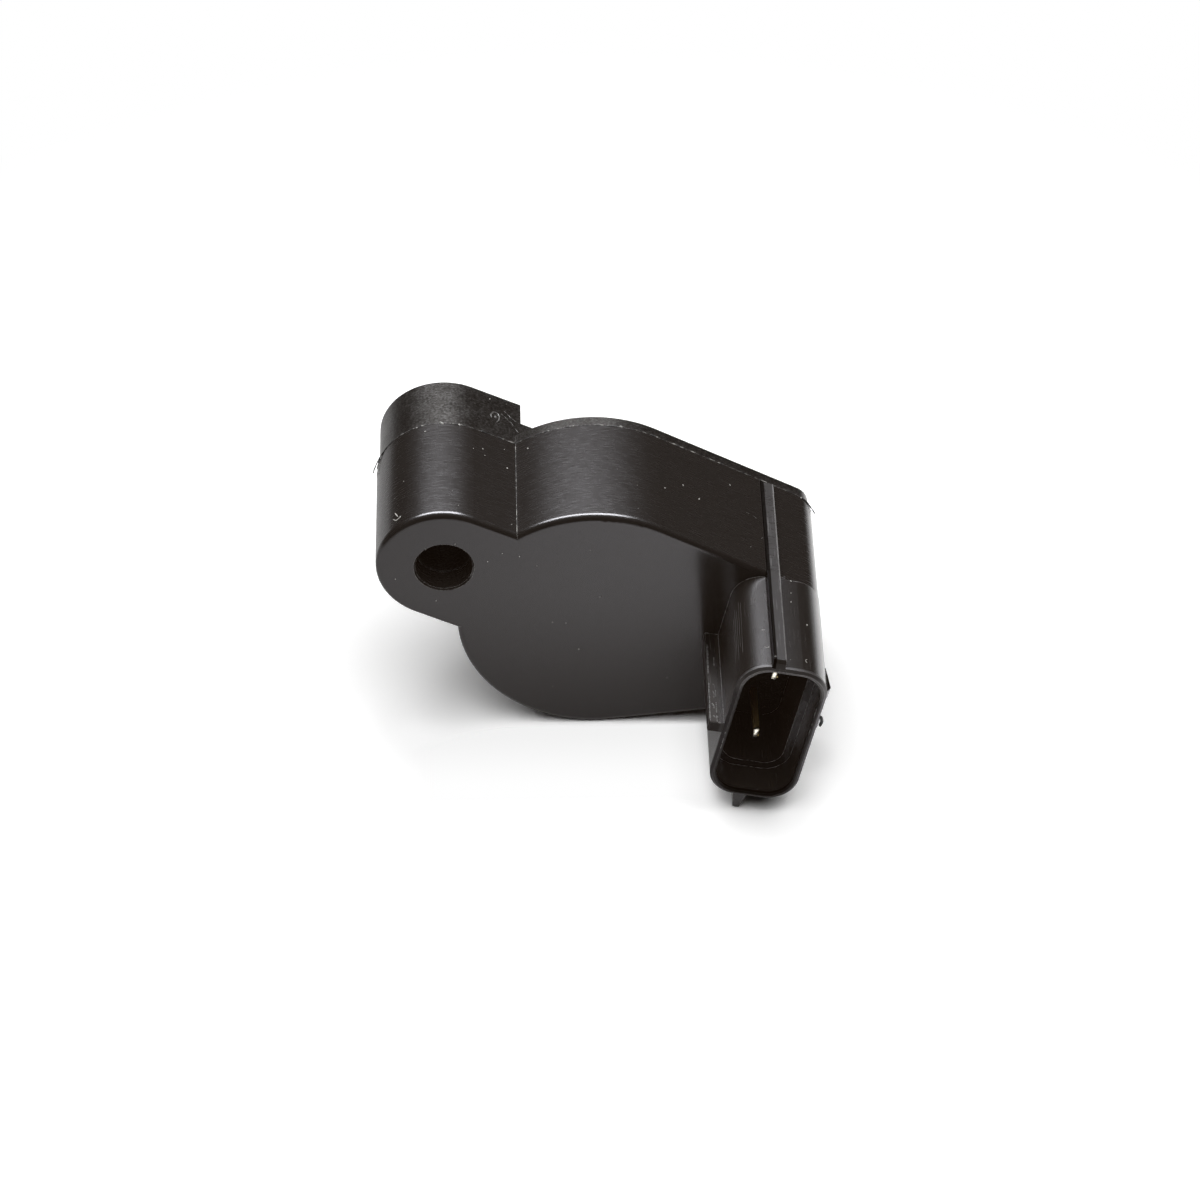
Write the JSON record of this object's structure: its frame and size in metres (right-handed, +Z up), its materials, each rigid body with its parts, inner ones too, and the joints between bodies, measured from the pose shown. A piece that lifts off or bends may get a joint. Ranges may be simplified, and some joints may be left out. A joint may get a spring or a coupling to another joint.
{
  "type": "vehicle speed sensor",
  "caption": "Black moulded inductive speed sensor: round body with one bolt ear, tilted oval plug socket with guide ribs and a short pick-up nose with a sealing ring.",
  "frame": {"origin": "middle of the bolt hole on the mounting face", "axes": "+Z up as the part stands in the picture, +Y along the bolt from the plug side to the gearbox, +X from the bolt ear to the plug socket"},
  "size_m": [0.0508, 0.0449, 0.0319],
  "materials": {
    "black_housing": "semi-gloss black moulding",
    "textured_base": "spark-textured black moulding",
    "sealant": "dark sealant",
    "ring_rubber": "smooth black rubber",
    "terminal_brass": "plain brass",
    "bobbin_plastic": "natural moulding",
    "copper_wire": "enamelled copper wire",
    "pole_steel": "turned steel",
    "magnet_ferrite": "sintered magnet"
  },
  "bodies": {
    "root": {"front_housing": "black_housing", "rear_base": "textured_base", "seam_bead": "sealant", "nose_ring": "ring_rubber", "upper_terminal": "terminal_brass", "lower_terminal": "terminal_brass", "upper_coil_post": "terminal_brass", "lower_coil_post": "terminal_brass", "coil_bobbin": "bobbin_plastic", "coil_winding": "copper_wire", "pole_piece": "pole_steel", "bias_magnet": "magnet_ferrite"}
  },
  "joints": []
}
